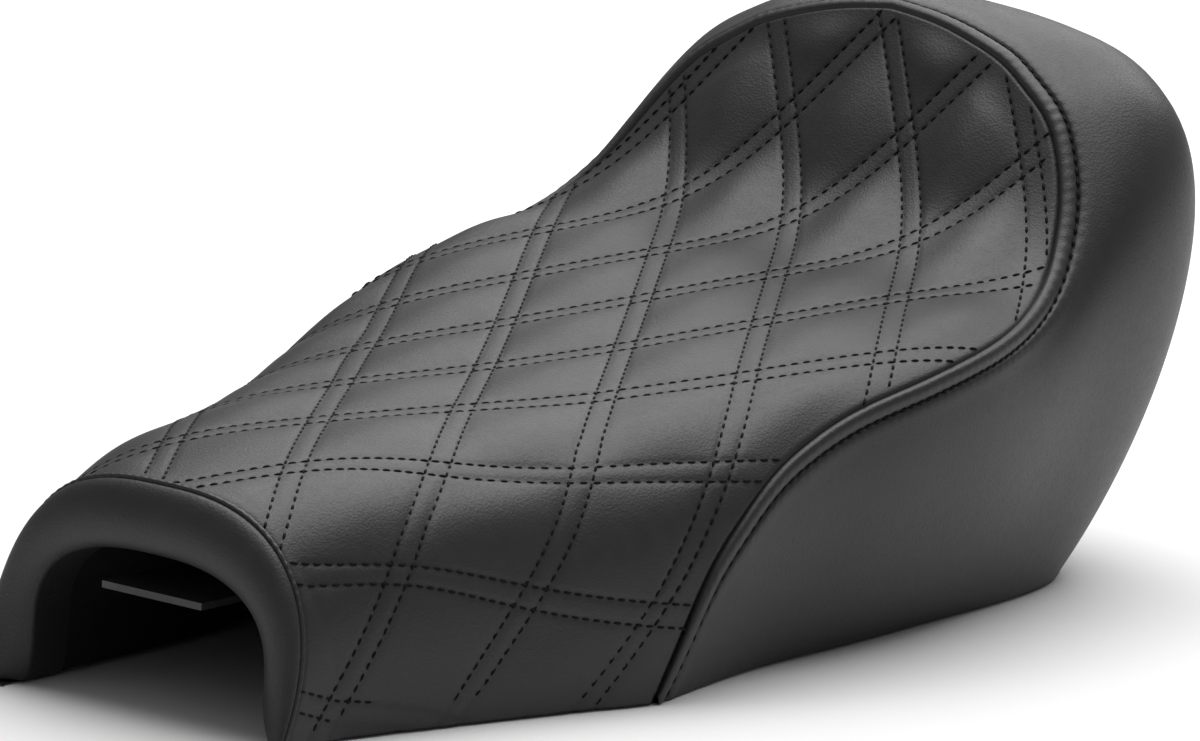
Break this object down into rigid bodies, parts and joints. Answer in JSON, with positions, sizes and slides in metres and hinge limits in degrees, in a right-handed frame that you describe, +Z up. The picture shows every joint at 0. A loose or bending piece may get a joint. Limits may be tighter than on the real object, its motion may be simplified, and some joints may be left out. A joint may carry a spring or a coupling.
{
  "type": "motorcycle seat",
  "caption": "Solo motorcycle seat with a stepped rear bump, diamond-quilted vinyl cover, plain side panels, moulded foam and a hollow base pan.",
  "frame": {"origin": "centre of the footprint, at the height of the lowest edge of the cover", "axes": "+Y runs from the nose to the bump, +Z up, +X towards the rider's left; the plane x = 0 is the plane of symmetry"},
  "size_m": [0.307, 0.6265, 0.2517],
  "materials": {
    "vinyl_quilted": "fine leather grain, satin",
    "vinyl_plain": "fine leather grain, satin",
    "vinyl_welt": "satin",
    "sewn_foam": "open-cell foam",
    "moulded_foam": "moulded foam",
    "gel": "soft gel",
    "pan_plastic": "moulded, matte",
    "steel": "zinc plated",
    "rubber": "moulded",
    "rivet": "satin"
  },
  "bodies": {
    "root": {"cover_top": "vinyl_quilted", "cover_nose": "vinyl_plain", "boxing_left": "vinyl_plain", "boxing_right": "vinyl_plain", "welt": "vinyl_welt", "nose_bead": "vinyl_welt", "quilt_foam": "sewn_foam", "comfort_pad": "gel", "seat_foam": "moulded_foam", "bump_foam": "moulded_foam", "base_pan": "pan_plastic", "front_tongue": "steel", "rear_bracket": "steel", "bumper_1": "rubber", "bumper_2": "rubber", "bumper_3": "rubber", "bumper_4": "rubber", "front_rivet_1": "rivet", "front_rivet_2": "rivet", "front_rivet_3": "rivet", "front_rivet_4": "rivet", "rear_rivet_1": "rivet", "rear_rivet_2": "rivet", "rear_rivet_3": "rivet", "rear_rivet_4": "rivet"}
  },
  "joints": []
}
